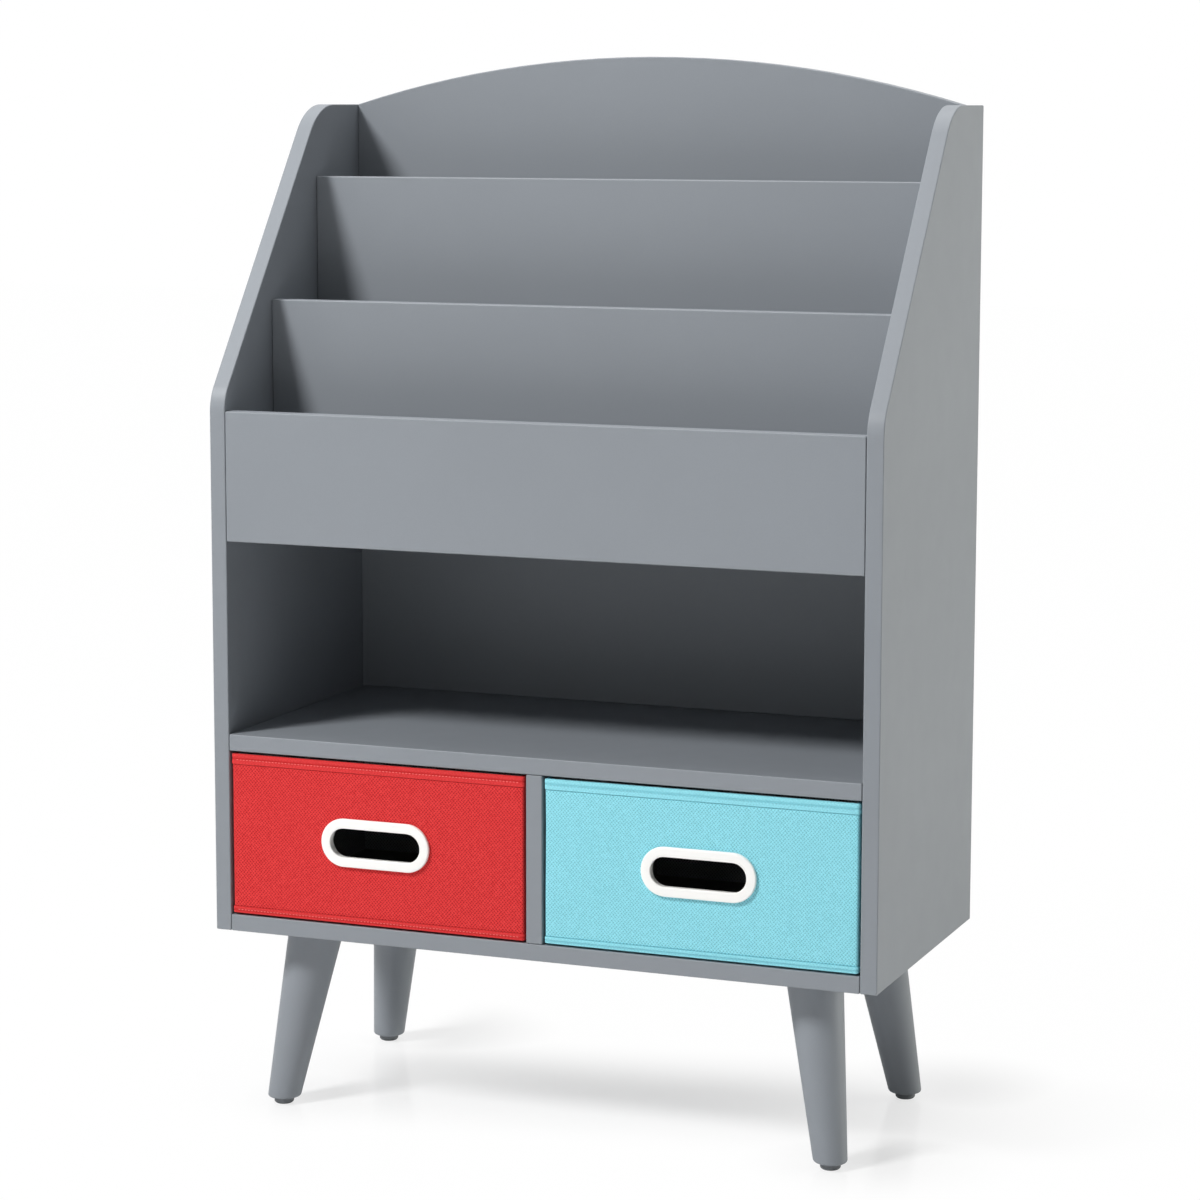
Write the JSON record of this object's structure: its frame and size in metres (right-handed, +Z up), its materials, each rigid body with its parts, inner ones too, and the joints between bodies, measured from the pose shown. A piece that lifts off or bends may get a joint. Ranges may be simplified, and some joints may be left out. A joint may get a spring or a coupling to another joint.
{
  "type": "book display rack",
  "caption": "Grey book display rack for children with stepped book pockets, an open compartment and two fabric bins, on splayed round legs.",
  "frame": {"origin": "on the floor, in the middle of the rack's width and depth", "axes": "+X to the right seen from the front, the front faces -Y, +Z up"},
  "size_m": [0.622, 0.2954, 0.9475],
  "materials": {
    "grey_paint": "satin grey paint on board",
    "red_cloth": "embossed non-woven cloth, matt",
    "blue_cloth": "embossed non-woven cloth, matt",
    "lining_cloth": "plain non-woven cloth, matt",
    "card": "raw grey-brown card",
    "white_plastic": "smooth moulded",
    "dark_plastic": "moulded, matt",
    "plated_steel": "zinc plated"
  },
  "bodies": {
    "case": {"left_side_panel": "grey_paint", "right_side_panel": "grey_paint", "front_board": "grey_paint", "middle_divider": "grey_paint", "rear_divider": "grey_paint", "front_pocket_floor": "grey_paint", "middle_pocket_floor": "grey_paint", "rear_pocket_floor": "grey_paint", "arched_back_panel": "grey_paint", "lower_back_panel": "grey_paint", "open_shelf": "grey_paint", "bottom_board": "grey_paint", "bin_partition": "grey_paint", "front_left_leg": "grey_paint", "front_right_leg": "grey_paint", "rear_left_leg": "grey_paint", "rear_right_leg": "grey_paint", "front_left_leg_plate": "plated_steel", "front_right_leg_plate": "plated_steel", "rear_left_leg_plate": "plated_steel", "rear_right_leg_plate": "plated_steel", "front_left_hanger_bolt": "plated_steel", "front_right_hanger_bolt": "plated_steel", "rear_left_hanger_bolt": "plated_steel", "rear_right_hanger_bolt": "plated_steel", "front_left_glide": "dark_plastic", "front_right_glide": "dark_plastic", "rear_left_glide": "dark_plastic", "rear_right_glide": "dark_plastic", "front_board_left_cam_fitting": "plated_steel", "front_board_right_cam_fitting": "plated_steel", "shelf_front_left_cam_fitting": "plated_steel", "shelf_front_right_cam_fitting": "plated_steel", "shelf_rear_left_cam_fitting": "plated_steel", "shelf_rear_right_cam_fitting": "plated_steel", "bottom_front_left_cam_fitting": "plated_steel", "bottom_front_right_cam_fitting": "plated_steel", "bottom_rear_left_cam_fitting": "plated_steel", "bottom_rear_right_cam_fitting": "plated_steel", "back_panel_left_cam_fitting": "plated_steel", "back_panel_right_cam_fitting": "plated_steel"},
    "left_bin": {"left_bin_cover": "red_cloth", "left_bin_lining": "lining_cloth", "left_bin_front_card": "card", "left_bin_rear_card": "card", "left_bin_left_card": "card", "left_bin_right_card": "card", "left_bin_base_card": "card", "left_grip_ring": "white_plastic", "left_grip_backing_ring": "white_plastic"},
    "right_bin": {"right_bin_cover": "blue_cloth", "right_bin_lining": "lining_cloth", "right_bin_front_card": "card", "right_bin_rear_card": "card", "right_bin_left_card": "card", "right_bin_right_card": "card", "right_bin_base_card": "card", "right_grip_ring": "white_plastic", "right_grip_backing_ring": "white_plastic"}
  },
  "joints": [
    {"name": "left_bin_slide", "type": "slide", "parent": "case", "child": "left_bin", "axis": [0, -1, 0], "range_m": [0, 0.2]},
    {"name": "right_bin_slide", "type": "slide", "parent": "case", "child": "right_bin", "axis": [0, -1, 0], "range_m": [0, 0.2]}
  ]
}
